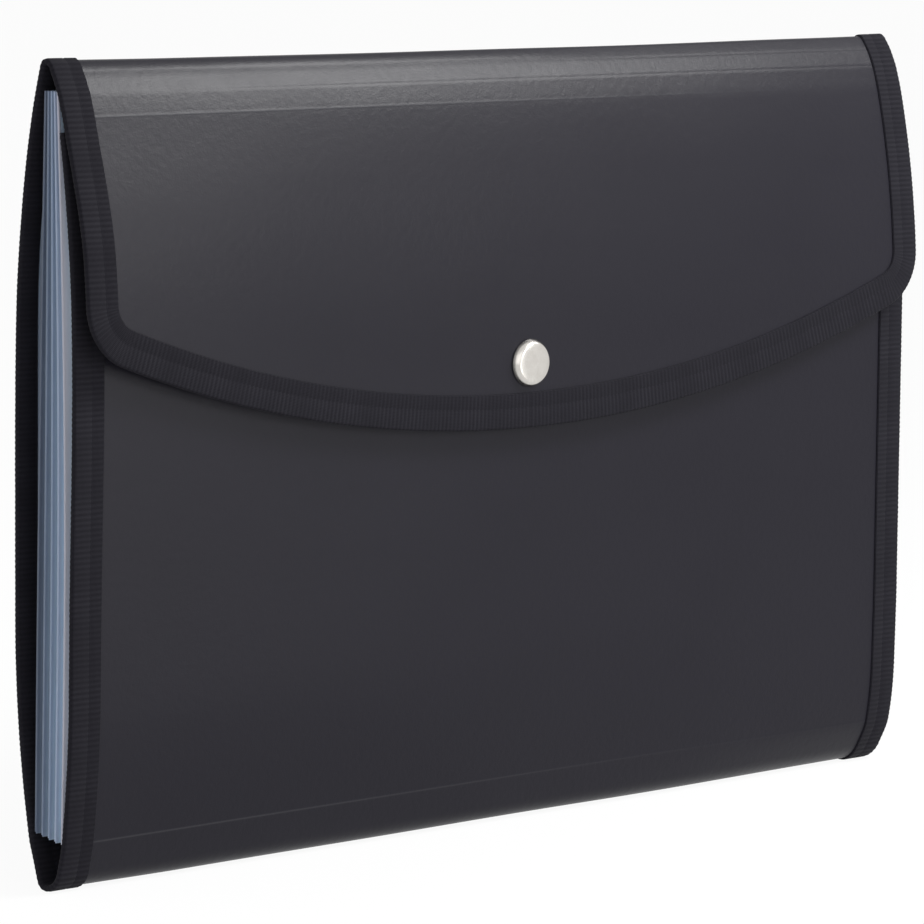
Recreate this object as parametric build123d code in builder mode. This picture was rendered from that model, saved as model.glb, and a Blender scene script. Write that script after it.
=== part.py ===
"""Accordion file folder: a scored plastic cover bound with tape, film pockets and a snap.

Millimetres. X runs along the folder's width, Z is up, the flap closes over the front at -Y.
The origin is under the middle of the closed folder, on the surface that it stands on.
"""

import os
from math import acos, asin, atan2, cos, degrees, hypot, radians, sin, sqrt, tan

from build123d import *

os.makedirs("parts", exist_ok=True)

# Overall size of the closed folder
folder_width = 330.0
folder_height = 230.0
folder_depth = 33.4

# Cover sheet and binding tape
sheet = 0.7
tape = 0.5
tape_face = 10.5
tape_seat = 0.05
fold_gap = 0.3
score_radius = 0.35

# Base: the narrow panel that the folder stands on, its legs sloping in from the folds
base_width = 14.6
base_lead = 1.5
base_fold_z = 14.0
base_corner = 1.2
front_slope = 10.2
back_slope = 22.5
leg_bend = 12.0

# Bulge of the covers: straight in the middle, with an arc to the base and another to the top.
# Drops are measured down from the top of the folder.
low_radius = 300.0
back_lean_drop = 72.0
back_top_radius = 220.0
front_lean_drop = 75.0
front_drop = 20.0
mouth = 11.8

# Ridge and flap
ridge_radius = 2.35
strip_reach = 7.8
strip_drop = 12.7
score_drops = (9.7, 4.7)
flap_lean_drop = 84.0
flap_drop = 111.1
flap_edge_radius = 440.0
flap_corner = 18.0

# Film pockets
pocket_count = 6
film = 0.25
leaf = 0.2
film_gap = 0.05
film_rise = 2.0
film_drop = 9.0
film_low_gap = 0.9
film_top_gap = 2.6
pocket_inset = 1.0
pleat_depth = 13.0
pleat_fold = 1.0
fold_spans = 5
weld_inset = 7.0
weld_tab = 3.0
floor_rise = 3.5
floor_gap = 0.3

# Snap
snap_rise = 19.1
cap_radius = 7.0
cap_height = 2.25
cap_rim = 1.2
cap_shoulder = 0.5
cap_flat_radius = 5.0
shank_radius = 2.2
hole_play = 0.2
socket_radius = 6.3
socket_height = 3.4
socket_base = 1.0
bore_radius = 3.45
spring_wire = 0.35
spring_gap = 70.0
snap_play = 0.3
stud_flange = 1.5
stud_radius = 3.05
stud_tip_radius = 2.5
stud_length = 2.1
rivet_radius = 5.0
rivet_head = 0.9
head_edge = 0.3

# Where the panels' middle surfaces lie
wrap = sheet / 2 + tape_seat + tape
edge = tape + tape_seat
sheet_half_width = folder_width / 2 - edge
slot_half = sheet / 2 + tape_seat
back_y = folder_depth / 2 - wrap
flap_y = -folder_depth / 2 + cap_height + sheet / 2
flap_space = socket_height + snap_play + stud_flange
front_y = flap_y + sheet + flap_space
base_y = (back_y + front_y) / 2 - base_lead
base_back_y = base_y + base_width / 2
base_front_y = base_y - base_width / 2
back_straight_top = folder_height - back_lean_drop
front_straight_top = folder_height - front_lean_drop
front_top_z = folder_height - front_drop
flap_straight_top = folder_height - flap_lean_drop
flap_low_z = folder_height - flap_drop
snap_z = flap_low_z + snap_rise
pocket_low_z = base_fold_z + film_rise
pocket_top_z = folder_height - film_drop


def sag(radius, run):
    """How far an arc leaves its tangent after a run along it."""
    return radius - sqrt(radius**2 - run**2)


def run_of(radius, drop):
    """Run along the tangent after which an arc has left it by drop."""
    return sqrt(2 * radius * drop - drop**2)


def radius_of(run, drop):
    """Radius of the arc that leaves its tangent by drop after a run along it."""
    return (run**2 + drop**2) / (2 * drop)


back_low_run = run_of(low_radius, back_y - base_back_y)
front_low_run = run_of(low_radius, base_front_y - front_y)
back_low_angle = degrees(asin(back_low_run / low_radius))
front_low_angle = degrees(asin(front_low_run / low_radius))
back_straight_low = base_fold_z + back_low_run
front_straight_low = base_fold_z + front_low_run


def back_at(z):
    """Y of the back panel's middle surface at a height."""
    if z < back_straight_low:
        return back_y - sag(low_radius, back_straight_low - z)
    return back_y - sag(back_top_radius, max(0.0, z - back_straight_top))


# The front panel leans in until its top edge leaves the pockets' mouth open
front_top_y = back_at(front_top_z) - 2 * wrap - mouth
front_top_radius = radius_of(front_top_z - front_straight_top, front_top_y - front_y)


def front_at(z):
    """Y of the front panel's middle surface at a height."""
    if z < front_straight_low:
        return front_y + sag(low_radius, front_straight_low - z)
    return front_y + sag(front_top_radius, max(0.0, z - front_straight_top))


# The ridge's circle touches the back panel's top arc from inside
ridge_z = folder_height - wrap - ridge_radius
ridge_run = ridge_z - back_straight_top
ridge_y = back_y - back_top_radius + sqrt((back_top_radius - ridge_radius) ** 2 - ridge_run**2)
back_top_angle = degrees(atan2(ridge_run, ridge_y - back_y + back_top_radius))

# The top strip leaves the ridge as a straight line that meets the flap's arc at its fold
flap_fold_y, flap_fold_z = ridge_y - strip_reach, ridge_z - strip_drop
flap_run_up = flap_fold_z - flap_straight_top
flap_radius = radius_of(flap_run_up, flap_fold_y - flap_y)
flap_angle = degrees(asin(flap_run_up / flap_radius))
fold_from_ridge = hypot(flap_fold_y - ridge_y, flap_fold_z - ridge_z)
fold_bearing = degrees(atan2(flap_fold_z - ridge_z, flap_fold_y - ridge_y)) % 360
strip_angle = fold_bearing - degrees(acos(ridge_radius / fold_from_ridge))
strip_line = sqrt(fold_from_ridge**2 - ridge_radius**2)

front_top_angle = degrees(asin((front_top_z - edge - front_straight_top) / front_top_radius))

# The base: two sloping legs, rounded into the flat bottom. The back leg bends into the back panel.
front_leg_drop = base_fold_z - wrap
bend_turn = back_slope - back_low_angle
bend_run = leg_bend * tan(radians(bend_turn / 2))
leg_bend_y = base_back_y - bend_run * sin(radians(back_low_angle))
leg_bend_z = base_fold_z - bend_run * cos(radians(back_low_angle))
back_leg_drop = leg_bend_z - wrap
front_turn = 90 - front_slope
back_turn = 90 - back_slope
front_corner_run = base_corner * tan(radians(front_turn / 2))
back_corner_run = base_corner * tan(radians(back_turn / 2))
front_leg = front_leg_drop / cos(radians(front_slope)) - front_corner_run
back_leg = back_leg_drop / cos(radians(back_slope)) - back_corner_run - bend_run
flat_front_y = base_front_y + front_leg_drop * tan(radians(front_slope)) + front_corner_run
flat_back_y = leg_bend_y - back_leg_drop * tan(radians(back_slope)) - back_corner_run
base_flat = flat_back_y - flat_front_y


# A profile is a start point, a heading in degrees and a list of moves in the YZ plane. A move is
# a straight length, or a radius and an angle of a left turn. The inside is always on the left.


def step(point, heading, move):
    """Point and heading after one move."""
    a = radians(heading)
    if len(move) == 1:
        return point + Vector(cos(a), sin(a)) * move[0], heading
    radius, angle = move
    b = radians(heading + angle)
    centre = point + Vector(-sin(a), cos(a)) * radius
    return centre + Vector(sin(b), -cos(b)) * radius, heading + angle


def part_of(move, length):
    """The first stretch of a move, as a move."""
    return (length,) if len(move) == 1 else (move[0], degrees(length / move[0]))


def shortened(move, length):
    """A move less a stretch of it."""
    cut = part_of(move, length)
    return (*move[:-1], move[-1] - cut[-1])


def trimmed(profile, head=0.0, tail=0.0):
    """A profile cut back by a length at its start and its end."""
    start, heading, moves = profile
    start, heading = step(start, heading, part_of(moves[0], head))
    moves = [shortened(moves[0], head), *moves[1:]]
    moves[-1] = shortened(moves[-1], tail)
    return start, heading, moves


def draw(profile, inward):
    """Draw a profile, moved inward, as edges. Returns its two ends."""
    start, heading, moves = profile
    a = radians(heading)
    first = point = start + Vector(-sin(a), cos(a)) * inward
    for move in moves:
        if len(move) == 2:
            move = (move[0] - inward, move[1])
        after, turned = step(point, heading, move)
        if len(move) == 1:
            Line(point, after)
        else:
            a = radians(heading)
            JernArc(point, (cos(a), sin(a)), move[0], move[1])
        point, heading = after, turned
    return first, point


def section(profile, half_thickness, x=0.0):
    """Cross-section of a sheet that follows a profile, on the YZ plane at x."""
    with BuildSketch(Plane.YZ.offset(x)) as cut:
        with BuildLine():
            inner = draw(profile, half_thickness)
            outer = draw(profile, -half_thickness)
            Line(inner[0], outer[0])
            Line(inner[1], outer[1])
        make_face()
    return cut.sketch


front_sheet_top = Vector(front_at(front_top_z - edge), front_top_z - edge)
front_profile = (
    front_sheet_top,
    270 - front_top_angle,
    [
        (front_top_radius, front_top_angle),
        (front_straight_top - front_straight_low,),
        (low_radius, front_low_angle),
    ],
)
base_profile = (
    Vector(base_front_y, base_fold_z),
    270 + front_slope,
    [
        (front_leg,),
        (base_corner, front_turn),
        (base_flat,),
        (base_corner, back_turn),
        (back_leg,),
        (leg_bend, bend_turn),
    ],
)
back_profile = (
    Vector(base_back_y, base_fold_z),
    90 - back_low_angle,
    [
        (low_radius, back_low_angle),
        (back_straight_top - back_straight_low,),
        (back_top_radius, back_top_angle),
    ],
)
ridge_start, ridge_heading = back_profile[0], back_profile[1]
for stretch in back_profile[2]:
    ridge_start, ridge_heading = step(ridge_start, ridge_heading, stretch)
strip_profile = (
    ridge_start,
    ridge_heading,
    [(ridge_radius, strip_angle - back_top_angle), (strip_line,)],
)
flap_profile = (
    Vector(flap_fold_y, flap_fold_z),
    270 - flap_angle,
    [(flap_radius, flap_angle), (flap_straight_top - flap_low_z,)],
)

# Each panel stops half a fold gap short of the lines that it folds on
half_gap = fold_gap / 2
front_run = trimmed(front_profile, tail=half_gap)
base_run = trimmed(base_profile, head=half_gap)
back_run = trimmed(back_profile, tail=half_gap)
strip_run = trimmed(strip_profile, head=half_gap, tail=half_gap)
flap_run = trimmed(flap_profile, head=half_gap)


def flap_outline(inset):
    """Front view of the flap, its sides and rounded lower edge moved in by inset."""
    half = folder_width / 2 - inset
    corner = flap_corner - inset
    rise = flap_edge_radius - flap_corner
    corner_x = folder_width / 2 - flap_corner
    edge_centre_z = flap_low_z + flap_edge_radius
    corner_z = edge_centre_z - sqrt(rise**2 - corner_x**2)
    lean = asin(corner_x / rise)
    joint_x = corner_x + corner * sin(lean)
    joint_z = corner_z - corner * cos(lean)
    low_z = flap_low_z + inset
    middle = (lean + radians(90)) / 2
    bend_x = corner_x + corner * sin(middle)
    bend_z = corner_z - corner * cos(middle)
    top = folder_height
    with BuildSketch(Plane.XZ) as outline:
        with BuildLine():
            Line((-half, top), (-half, corner_z))
            ThreePointArc((-half, corner_z), (-bend_x, bend_z), (-joint_x, joint_z))
            ThreePointArc((-joint_x, joint_z), (0, low_z), (joint_x, joint_z))
            ThreePointArc((joint_x, joint_z), (bend_x, bend_z), (half, corner_z))
            Line((half, corner_z), (half, top))
            Line((half, top), (-half, top))
        make_face()
    return outline.sketch


def save(piece, name):
    """Label a finished piece and write it out."""
    piece.part.label = name
    export_step(piece.part, f"parts/{name}.step")


# Cover panels
with BuildPart() as back_panel:
    extrude(section(back_run, sheet / 2), amount=sheet_half_width, both=True)
save(back_panel, "back_panel")

with BuildPart() as base_panel:
    extrude(section(base_run, sheet / 2), amount=sheet_half_width, both=True)
save(base_panel, "base_panel")

snap_plane = Plane.XZ.offset(folder_depth)
snap_centre = (0, snap_z)

with BuildPart() as front_panel:
    extrude(section(front_run, sheet / 2), amount=sheet_half_width, both=True)
    with BuildSketch(snap_plane):
        with Locations(snap_centre):
            Circle(shank_radius + hole_play)
    extrude(amount=-2 * folder_depth, mode=Mode.SUBTRACT)
save(front_panel, "front_panel")


def strip_outer_at(z):
    """Point on the outer face of the top strip's straight stretch at a height."""
    lean = radians(strip_angle)
    foot = Vector(ridge_y, ridge_z) + Vector(cos(lean), sin(lean)) * (ridge_radius + sheet / 2)
    along = Vector(-sin(lean), cos(lean))
    return foot + along * ((z - foot.Y) / along.Y)


score_heights = [folder_height - drop for drop in score_drops]

with BuildPart() as top_strip:
    extrude(section(strip_run, sheet / 2), amount=sheet_half_width, both=True)
    with BuildSketch(Plane.YZ):
        with Locations(*[strip_outer_at(z) for z in score_heights]):
            Circle(score_radius)
    extrude(amount=folder_width, both=True, mode=Mode.SUBTRACT)
save(top_strip, "top_strip")

with BuildPart() as flap_panel:
    extrude(section(flap_run, sheet / 2), amount=sheet_half_width, both=True)
    extrude(flap_outline(edge), amount=folder_depth, both=True, mode=Mode.INTERSECT)
    with BuildSketch(snap_plane):
        with Locations(snap_centre):
            Circle(shank_radius + hole_play)
    extrude(amount=-2 * folder_depth, mode=Mode.SUBTRACT)
save(flap_panel, "flap_panel")

# Binding tape: folded over each edge, one length of it for each panel that moves by itself
slot_x = folder_width / 2 - tape
for name, run in (("back", back_run), ("base", base_run), ("strip", strip_run)):
    with BuildPart() as binding_right:
        extrude(section(run, wrap, folder_width / 2 - tape_face), amount=tape_face)
        slot = section(run, slot_half, folder_width / 2 - 2 * tape_face)
        extrude(slot, amount=2 * tape_face - tape, mode=Mode.SUBTRACT)
    save(binding_right, f"{name}_binding_right")

    with BuildPart() as binding_left:
        mirror(binding_right.part, about=Plane.YZ)
    save(binding_left, f"{name}_binding_left")

front_tape_run = trimmed(front_run, head=-edge)
front_slot_run = trimmed(front_run, head=-tape_seat)
with BuildPart() as front_binding:
    extrude(section(front_tape_run, wrap), amount=folder_width / 2, both=True)
    extrude(section(front_slot_run, slot_half), amount=slot_x, both=True, mode=Mode.SUBTRACT)
    with BuildSketch(snap_plane):
        Rectangle(
            folder_width - 2 * tape_face,
            front_top_z - tape_face,
            align=(Align.CENTER, Align.MIN),
        )
    extrude(amount=-2 * folder_depth, mode=Mode.SUBTRACT)
save(front_binding, "front_binding")

with BuildPart() as flap_slot:
    extrude(section(flap_run, slot_half), amount=slot_x, both=True)
    extrude(flap_outline(tape), amount=folder_depth, both=True, mode=Mode.INTERSECT)

with BuildPart() as flap_binding:
    extrude(section(flap_run, wrap), amount=folder_width / 2, both=True)
    extrude(flap_outline(0), amount=folder_depth, both=True, mode=Mode.INTERSECT)
    extrude(flap_outline(tape_face), amount=folder_depth, both=True, mode=Mode.SUBTRACT)
    add(flap_slot.part, mode=Mode.SUBTRACT)
save(flap_binding, "flap_binding")

# Film dividers, spread evenly between the covers' bound edges
rear_low = back_at(pocket_low_z) - wrap - film_low_gap
front_low = front_at(pocket_low_z) + wrap + film_low_gap
rear_top = back_at(pocket_top_z) - wrap - film_top_gap
front_top = front_top_y + wrap + film_top_gap
film_half_width = folder_width / 2 - pocket_inset


def divider_y(index, z):
    """Middle of a divider at a height. The first is next to the back."""
    share = (index - 1) / (pocket_count - 2)
    low = rear_low + (front_low - rear_low) * share
    top = rear_top + (front_top - rear_top) * share
    return low + (top - low) * (z - pocket_low_z) / (pocket_top_z - pocket_low_z)


for index in range(1, pocket_count):
    low_y, top_y = divider_y(index, pocket_low_z), divider_y(index, pocket_top_z)
    with BuildPart() as divider:
        with BuildSketch(Plane.YZ):
            with BuildLine():
                Polyline(
                    (low_y - film / 2, pocket_low_z),
                    (low_y + film / 2, pocket_low_z),
                    (top_y + film / 2, pocket_top_z),
                    (top_y - film / 2, pocket_top_z),
                    close=True,
                )
            make_face()
        extrude(amount=film_half_width, both=True)
    save(divider, f"divider_{index}")

# Pleated floor: a ridge under each divider, its rear end on the back panel
floor_ridge_z = pocket_low_z - floor_gap
floor_valley_z = floor_ridge_z - floor_rise
floor_seat_y = back_at(floor_ridge_z - 2 * leaf) - sheet / 2 - film_gap
ridges = [(divider_y(i, pocket_low_z), floor_ridge_z) for i in range(1, pocket_count)]
upper = [(floor_seat_y, floor_ridge_z), ridges[0]]
for before, after in zip(ridges, ridges[1:]):
    upper += [((before[0] + after[0]) / 2, floor_valley_z), after]
lower = [(y, z - leaf * 2) for y, z in reversed(upper)]

with BuildPart() as pocket_floor:
    with BuildSketch(Plane.YZ):
        with BuildLine():
            Polyline(*upper, *lower, close=True)
        make_face()
    extrude(amount=folder_width / 2 - tape_face - pocket_inset, both=True)
save(pocket_floor, "pocket_floor")


# Gussets between dividers: one fold of film at each side, its valley towards the middle
def fold_plan(index, z):
    """Corners of a folded gusset in plan at a height, at the right side."""
    rear = divider_y(index - 1, z) - film / 2 - film_gap
    front = divider_y(index, z) + film / 2 + film_gap
    middle = (rear + front) / 2
    valley_x = film_half_width - pleat_depth
    return [
        (film_half_width, rear),
        (valley_x, middle + leaf),
        (valley_x, middle - leaf),
        (film_half_width, front),
        (film_half_width, front + leaf),
        (valley_x + pleat_fold, middle),
        (film_half_width, rear - leaf),
    ]


# Gussets next to a cover: one leaf from the divider's edge to a tab on the cover's tape
def leaf_plan(divider_face, cover_face, towards):
    """Corners of a single-leaf gusset in plan. Towards is the cover's side, 1 rear or -1 front."""
    edge_y = divider_face + towards * film_gap
    tab_y = cover_face - towards * film_gap
    weld_x = folder_width / 2 - weld_inset
    return [
        (film_half_width, edge_y),
        (film_half_width, edge_y + towards * leaf),
        (weld_x, tab_y),
        (weld_x - weld_tab, tab_y),
        (weld_x - weld_tab, tab_y - towards * leaf),
        (weld_x, tab_y - towards * leaf),
    ]


def rear_plan(z):
    """Gusset between the back panel and the first divider."""
    return leaf_plan(divider_y(1, z) + film / 2, back_at(z) - wrap, 1)


def front_plan(z):
    """Gusset between the last divider and the front panel."""
    return leaf_plan(divider_y(pocket_count - 1, z) - film / 2, front_at(z) + wrap, -1)


def gusset_levels(index):
    """Plans of a gusset with their heights, closer together where a cover curves."""
    if 1 < index < pocket_count:
        rise = (pocket_top_z - pocket_low_z) / fold_spans
        heights = [pocket_low_z + rise * span for span in range(fold_spans + 1)]
        return [(z, fold_plan(index, z)) for z in heights]
    if index == 1:
        plan, top = rear_plan, pocket_top_z
        bends = (back_straight_low, back_straight_top)
    else:
        plan, top = front_plan, front_top_z - edge
        bends = (front_straight_low, front_straight_top)
    low_half, top_half = (pocket_low_z + bends[0]) / 2, (bends[1] + top) / 2
    return [(z, plan(z)) for z in (pocket_low_z, low_half, *bends, top_half, top)]


for index in range(1, pocket_count + 1):
    with BuildPart() as gusset_right:
        for z, corners in gusset_levels(index):
            with BuildSketch(Plane.XY.offset(z)):
                with BuildLine():
                    Polyline(*corners, close=True)
                make_face()
        loft(ruled=True)
    save(gusset_right, f"gusset_right_{index}")

    with BuildPart() as gusset_left:
        mirror(gusset_right.part, about=Plane.YZ)
    save(gusset_left, f"gusset_left_{index}")

# Snap: cap and socket clench the flap, stud and rivet clench the front panel
snap_section = Plane.XY.offset(snap_z)
snap_axis = Axis((0, 0, snap_z), (0, 1, 0))
flap_outer_y, flap_inner_y = flap_y - sheet / 2, flap_y + sheet / 2
front_outer_y, front_inner_y = front_y - sheet / 2, front_y + sheet / 2
cap_top_y = flap_outer_y - cap_height
socket_floor_y = flap_inner_y + socket_base
socket_mouth_y = flap_inner_y + socket_height
flange_y = front_outer_y - stud_flange
stud_tip_y = flange_y - stud_length
spring_y = (socket_floor_y + socket_mouth_y) / 2

with BuildPart() as snap_cap:
    with BuildSketch(snap_section):
        with BuildLine():
            Polyline(
                (0, socket_floor_y),
                (shank_radius, socket_floor_y),
                (shank_radius, flap_outer_y),
                (cap_radius, flap_outer_y),
                (cap_radius, flap_outer_y - cap_rim),
                (cap_radius - cap_shoulder, cap_top_y + cap_shoulder),
                (cap_flat_radius, cap_top_y),
                (0, cap_top_y),
                close=True,
            )
        make_face()
    revolve(axis=snap_axis)
save(snap_cap, "snap_cap")

with BuildPart() as snap_socket:
    with BuildSketch(snap_section):
        with BuildLine():
            Polyline(
                (shank_radius + tape_seat, flap_inner_y + tape_seat),
                (socket_radius, flap_inner_y + tape_seat),
                (socket_radius, socket_mouth_y),
                (bore_radius, socket_mouth_y),
                (bore_radius, socket_floor_y),
                (shank_radius + tape_seat, socket_floor_y),
                close=True,
            )
        make_face()
        with Locations((bore_radius + spring_wire, spring_y)):
            groove = 2 * (spring_wire + tape_seat)
            Rectangle(groove, groove, mode=Mode.SUBTRACT)
    revolve(axis=snap_axis)
    chamfer(snap_socket.edges().filter_by(GeomType.CIRCLE).group_by(Axis.Y)[-1], head_edge)
save(snap_socket, "snap_socket")

with BuildPart() as snap_spring:
    with BuildSketch(snap_section):
        with Locations((bore_radius + spring_wire, spring_y)):
            RegularPolygon(spring_wire, 6)
    revolve(axis=snap_axis, revolution_arc=360 - spring_gap)
save(snap_spring, "snap_spring")

with BuildPart() as snap_stud:
    with BuildSketch(snap_section):
        with BuildLine():
            Polyline(
                (shank_radius + tape_seat, front_outer_y - tape_seat),
                (socket_radius, front_outer_y - tape_seat),
                (socket_radius, flange_y),
                (stud_radius, flange_y),
                (stud_tip_radius, stud_tip_y),
                (0, stud_tip_y),
                (0, flange_y + tape_seat),
                (shank_radius + tape_seat, flange_y + tape_seat),
                close=True,
            )
        make_face()
    revolve(axis=snap_axis)
    chamfer(snap_stud.edges().filter_by(GeomType.CIRCLE).group_by(Axis.Y)[0], 2 * head_edge)
save(snap_stud, "snap_stud")

with BuildPart() as snap_rivet:
    with BuildSketch(snap_section):
        with BuildLine():
            Polyline(
                (0, front_inner_y + rivet_head),
                (rivet_radius, front_inner_y + rivet_head),
                (rivet_radius, front_inner_y + tape_seat),
                (shank_radius, front_inner_y + tape_seat),
                (shank_radius, flange_y + 2 * tape_seat),
                (0, flange_y + 2 * tape_seat),
                close=True,
            )
        make_face()
    revolve(axis=snap_axis)
    chamfer(snap_rivet.edges().filter_by(GeomType.CIRCLE).group_by(Axis.Y)[-1], head_edge)
save(snap_rivet, "snap_rivet")
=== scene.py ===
"""Looks of an accordion file folder: satin cover, ribbed edge tape, pleated film and a bright snap.

Sizes are in millimetres, as the folder was made, and meshes are laid down in metres. X runs along the
width, Z is up and the flap closes over the front at -Y.
"""
from math import acos, asin, atan2, ceil, cos, degrees, hypot, pi, radians, sin, sqrt, tan

import bmesh
import bpy
import numpy as np
from mathutils import Matrix, Vector


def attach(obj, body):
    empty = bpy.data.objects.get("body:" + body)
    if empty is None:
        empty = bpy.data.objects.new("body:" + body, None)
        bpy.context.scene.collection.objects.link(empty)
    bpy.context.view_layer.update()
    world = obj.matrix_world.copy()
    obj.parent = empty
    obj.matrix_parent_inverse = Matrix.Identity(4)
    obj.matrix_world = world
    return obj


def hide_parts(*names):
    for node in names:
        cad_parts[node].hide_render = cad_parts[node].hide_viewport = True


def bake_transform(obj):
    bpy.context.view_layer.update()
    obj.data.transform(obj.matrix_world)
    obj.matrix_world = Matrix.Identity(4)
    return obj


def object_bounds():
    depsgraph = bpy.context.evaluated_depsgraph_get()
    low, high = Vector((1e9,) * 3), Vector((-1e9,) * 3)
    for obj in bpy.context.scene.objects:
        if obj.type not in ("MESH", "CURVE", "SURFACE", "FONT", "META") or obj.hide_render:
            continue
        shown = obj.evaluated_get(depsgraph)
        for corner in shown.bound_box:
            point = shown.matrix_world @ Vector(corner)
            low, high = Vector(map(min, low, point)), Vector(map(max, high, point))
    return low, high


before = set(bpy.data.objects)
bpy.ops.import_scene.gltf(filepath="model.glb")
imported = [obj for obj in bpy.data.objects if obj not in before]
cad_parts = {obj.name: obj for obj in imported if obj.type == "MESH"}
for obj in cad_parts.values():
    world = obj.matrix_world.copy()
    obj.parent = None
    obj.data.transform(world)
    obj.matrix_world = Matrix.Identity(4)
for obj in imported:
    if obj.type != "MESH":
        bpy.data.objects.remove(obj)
made_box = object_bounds()

# Overall size, from the frame
mm = 0.001
folder_width, folder_depth, folder_height = [(high - low) / mm for low, high in zip(*made_box)]

# Cover sheet and edge tape. The tape shows to its face's width, and the sheet is tucked into its fold.
sheet = 0.7
tape = 0.5
tape_face = 10.5
tape_seat = 0.05
tuck = 4.0
score_depth = 0.042
score_bead = 0.03
score_width = 0.4
rib_pitch = 1.5
rib_height = 0.11
rows_per_rib = 4

# Base and bulge of the covers, as in the folder's construction, its bottom softly rounded. Slopes lean
# from the vertical, drops are measured from the folder's top, and the mouth is the way in behind the front.
base_width = 14.6
base_lead = 1.5
base_fold_z = 14.0
front_slope = 10.2
back_slope = 22.5
leg_bend = 12.0
front_round = 6.0
back_round = 2.8
low_radius = 300.0
back_lean_drop = 72.0
back_top_radius = 220.0
front_lean_drop = 75.0
front_drop = 20.0
mouth = 11.8

# Ridge and flap. Facets between the scores lean from the vertical, the lowest one first.
ridge_radius = 2.35
crest_radius = 1.8
strip_reach = 7.8
strip_drop = 12.7
score_drops = (9.7, 4.7)
facet_slopes = (18.0, 26.0)
crease_radius = 18.0
flap_bend_run = 1.9
flap_lean_drop = 84.0
flap_drop = 111.1
flap_edge_radius = 440.0
flap_corner = 18.0

# Film pockets: dividers from the base to below the ridge, and pleats of single leaves between their sides
pocket_count = 6
film = 0.25
leaf = 0.2
film_gap = 0.05
film_rise = 2.0
film_drop = 9.0
film_stagger = 1.9
film_low_gap = 0.9
film_rear_gap = 2.0
film_front_gap = 1.5
pocket_inset = 1.0
pleat_depth = 13.0
pleat_fold = 1.0
weld_inset = 7.0
weld_tab = 3.0
weld_bead = 0.3
bead_width = 0.7
rear_bow = 0.5
front_bow = -2.2
floor_rise = 3.5
floor_gap = 0.3

# Snap
snap_rise = 19.1
cap_height = 2.25
cap_flat_radius = 5.3
socket_height = 3.4
snap_play = 0.3
stud_flange = 1.5

# How far from a fold's line the sheet takes part in its bend
fold_reach = 1.6

# Small forms of the sheet: faint waves, and score lines that fade along the width. Then a highlight painted
# along the two folds, which fades along the width too
ripple_height = 0.05
ripple_fade = 40.0
ripple_waves = ((31.0, 47.0, 0.0), (53.0, -23.0, 1.3), (17.0, 61.0, 0.4))
ridge_score_fade = (0.0, 90.0)
seam_score_fade = (-140.0, -50.0)
bead_fade = (120.0, -60.0)
highlight_width = 0.22
highlight_fade = (150.0, -150.0)
front_highlight = 0.5

# Small forms of the tape: its woven edge, its stitch line and uneven ribs
selvage = 0.3
tape_tuck = 0.12
stitch_inset = 6.2
stitch_groove = 0.45
stitch_depth = 0.16
rib_sway = 0.25
rib_drift = 2.7
rib_beat = 7.9
thread_pitch = 0.42

# How the cover has settled: the crest sags and rolls, the left side springs open, the corners are rounded
crest_sag = 0.7
crest_reach = 14.0
crest_roll = 0.35
roll_reach = 1.3
roll_fade = (40.0, -30.0)
roll_sway = 0.25
roll_pitch = 17.0
left_fade = (-30.0, -165.0)
flap_stand = 2.3
flap_stand_run = 40.0
front_stand = 1.5
front_stand_at = 70.0
front_stand_reach = 50.0
back_settle = 1.1
back_settle_drop = 45.0
back_settle_reach = 32.0
left_rounding = 0.8
left_rounding_fade = (-120.0, -165.0)
right_rounding = 2.8
right_rounding_fade = (40.0, 165.0)
rounding_lead = 3.0
low_stand = 1.0
low_stand_rise = 8.0
low_stand_reach = 16.0

# Small forms of the film's edges and of the cap, whose points are radius and height over the flap. Among
# them are the reaches of the film's painted light and shade: how far from an edge its colour gives way to a
# lighter painted copy in the shaded folds, how far the dividers' faces take painted shade, and where the
# pocket floor lies in the painted shade from rear to front.
divider_rim = (0.0, 0.1, 0.2, 0.35, 0.5, 0.6, 0.7, 2.0, 6.0, 20.0)
ridge_fade = (1.4, 0.4)
face_shade_fade = (3.0, 0.7)
floor_shade_share = 0.5
cap_crown = 0.12
cap_shoulder = ((cap_flat_radius, cap_height), (5.75, 2.17), (6.15, 1.93), (6.5, 1.5))
cap_side = ((6.75, 1.0), (6.92, 0.55), (7.0, 0.3))
cap_foot = ((6.8, 0.08), (6.6, -0.05))

# Fineness of the meshes
crisp_angle = radians(40)
sheet_columns = 41
row_pitch = 4.0
score_rows = np.arange(-6, 7) / 2
flap_bend_columns = 10
flap_rows = 30
tape_bend_points = 9
film_rows = 33
divider_columns = 9
leaf_parts = (0.0, 0.05, 0.12, 0.5)
leaf_parts_back = (0.0, 0.5, 0.88, 0.95)
cap_sides = 72
cap_face_rings = 4

# Colours
cover_dark = (0.0066, 0.0060, 0.0102, 1)
cover_light = (0.0084, 0.0077, 0.0124, 1)
# Painted highlight along the cover's folds
fold_highlight_colour = (0.045, 0.045, 0.05, 1)
tape_dark = (0.003, 0.0028, 0.0048, 1)
tape_light = (0.014, 0.0132, 0.0185, 1)
# The film runs from a painted shade at the rear of the stack to its pale colour at the front
film_shaded_rear = (0.05, 0.061, 0.09, 1)
film_pale = (0.35, 0.46, 0.66, 1)
# A lighter painted copy of the film's colours, for its folds and faces that lie in shade
film_fold_lit_rear = (0.115, 0.145, 0.215, 1)
film_fold_lit_front = (0.62, 0.81, 1.0, 1)
film_front = (0.46, 0.43, 0.47, 1)
nickel_dark = (0.47, 0.45, 0.42, 1)
nickel_light = (0.69, 0.665, 0.63, 1)
floor_colour = (0.9, 0.9, 0.9, 1)
white = (1, 1, 1, 1)

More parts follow.
